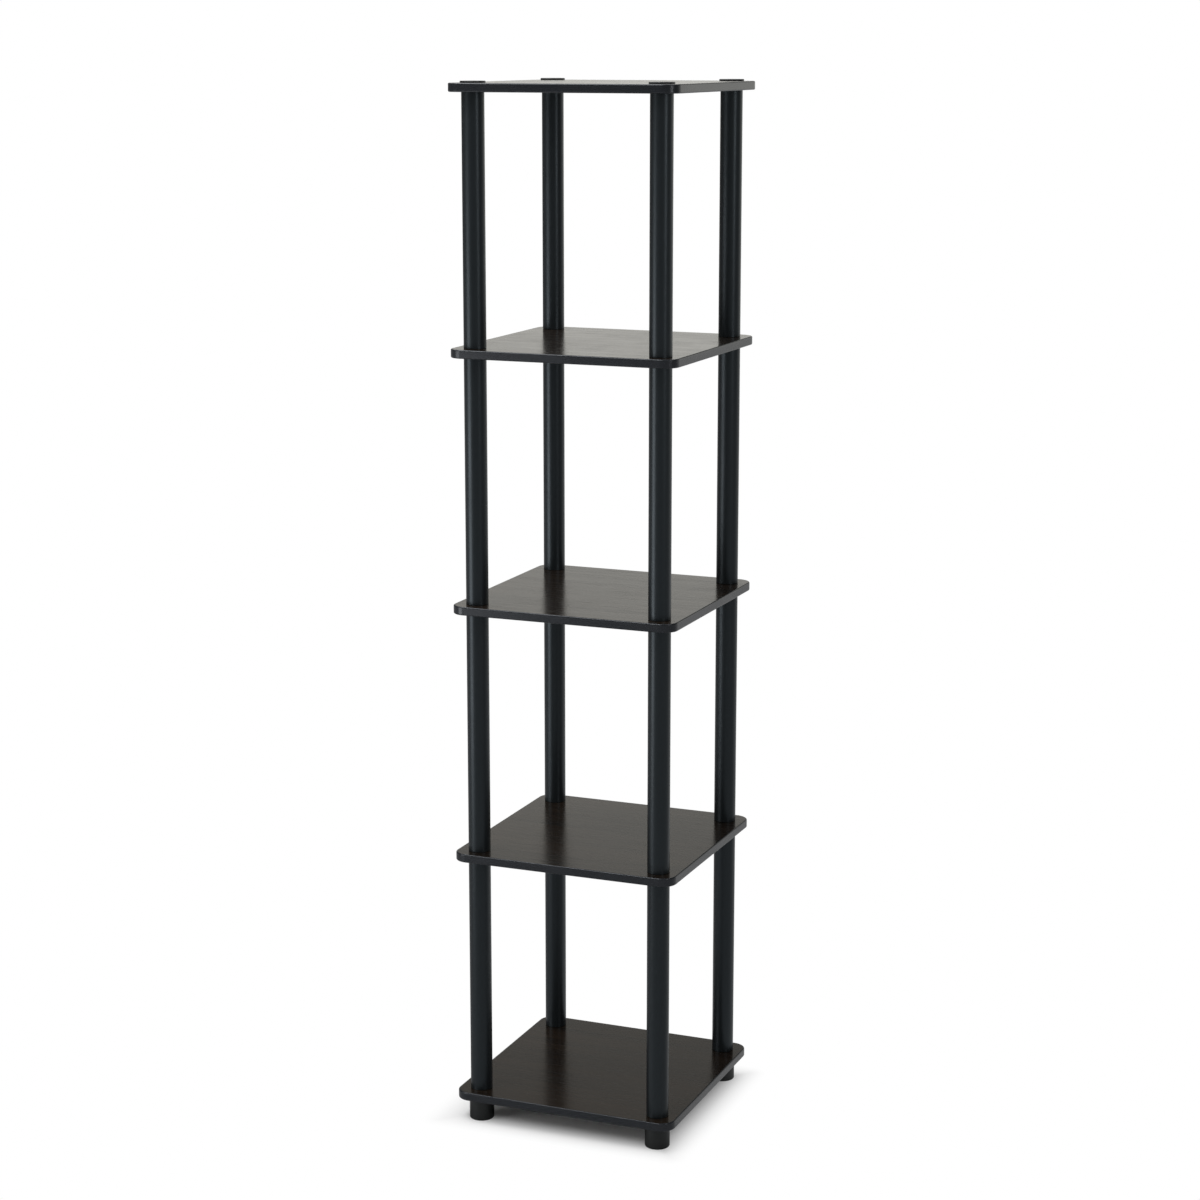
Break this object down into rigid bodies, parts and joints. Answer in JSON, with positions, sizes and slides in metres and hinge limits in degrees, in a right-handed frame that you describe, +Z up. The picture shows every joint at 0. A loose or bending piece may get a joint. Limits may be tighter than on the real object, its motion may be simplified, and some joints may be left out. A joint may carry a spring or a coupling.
{
  "type": "corner bookcase",
  "caption": "Tall square open rack for a room corner: dark wood-grain shelves with rounded corners clamped between screwed black tubes, on round feet, with flat caps on top.",
  "frame": {"origin": "on the floor, in the middle of the square between the four feet", "axes": "+Z up along the columns; +X and +Y along the shelves' sides, with the front face towards -Y"},
  "size_m": [0.33, 0.33, 1.466],
  "materials": {
    "shelf_film": "dark brown wood-grain film on particle board, semi-gloss",
    "edge_band": "black edge band with soft arrises, satin",
    "tube": "black plastic tube, semi-gloss",
    "fitting": "black moulded plastic, satin",
    "plug": "black moulded plastic, plain"
  },
  "bodies": {
    "root": {"shelf_1_panel": "shelf_film", "shelf_1_edge_band": "edge_band", "shelf_2_panel": "shelf_film", "shelf_2_edge_band": "edge_band", "shelf_3_panel": "shelf_film", "shelf_3_edge_band": "edge_band", "shelf_4_panel": "shelf_film", "shelf_4_edge_band": "edge_band", "shelf_5_panel": "shelf_film", "shelf_5_edge_band": "edge_band", "tube_1_front_left": "tube", "stud_plug_1_front_left": "plug", "tube_1_front_right": "tube", "stud_plug_1_front_right": "plug", "tube_1_rear_right": "tube", "stud_plug_1_rear_right": "plug", "tube_1_rear_left": "tube", "stud_plug_1_rear_left": "plug", "socket_plugs_1": "plug", "tube_2_front_left": "tube", "stud_plug_2_front_left": "plug", "tube_2_front_right": "tube", "stud_plug_2_front_right": "plug", "tube_2_rear_right": "tube", "stud_plug_2_rear_right": "plug", "tube_2_rear_left": "tube", "stud_plug_2_rear_left": "plug", "socket_plugs_2": "plug", "tube_3_front_left": "tube", "stud_plug_3_front_left": "plug", "tube_3_front_right": "tube", "stud_plug_3_front_right": "plug", "tube_3_rear_right": "tube", "stud_plug_3_rear_right": "plug", "tube_3_rear_left": "tube", "stud_plug_3_rear_left": "plug", "socket_plugs_3": "plug", "tube_4_front_left": "tube", "stud_plug_4_front_left": "plug", "tube_4_front_right": "tube", "stud_plug_4_front_right": "plug", "tube_4_rear_right": "tube", "stud_plug_4_rear_right": "plug", "tube_4_rear_left": "tube", "stud_plug_4_rear_left": "plug", "socket_plugs_4": "plug", "foot_front_left": "fitting", "foot_front_right": "fitting", "foot_rear_right": "fitting", "foot_rear_left": "fitting", "cap_front_left": "fitting", "cap_front_right": "fitting", "cap_rear_right": "fitting", "cap_rear_left": "fitting"}
  },
  "joints": []
}
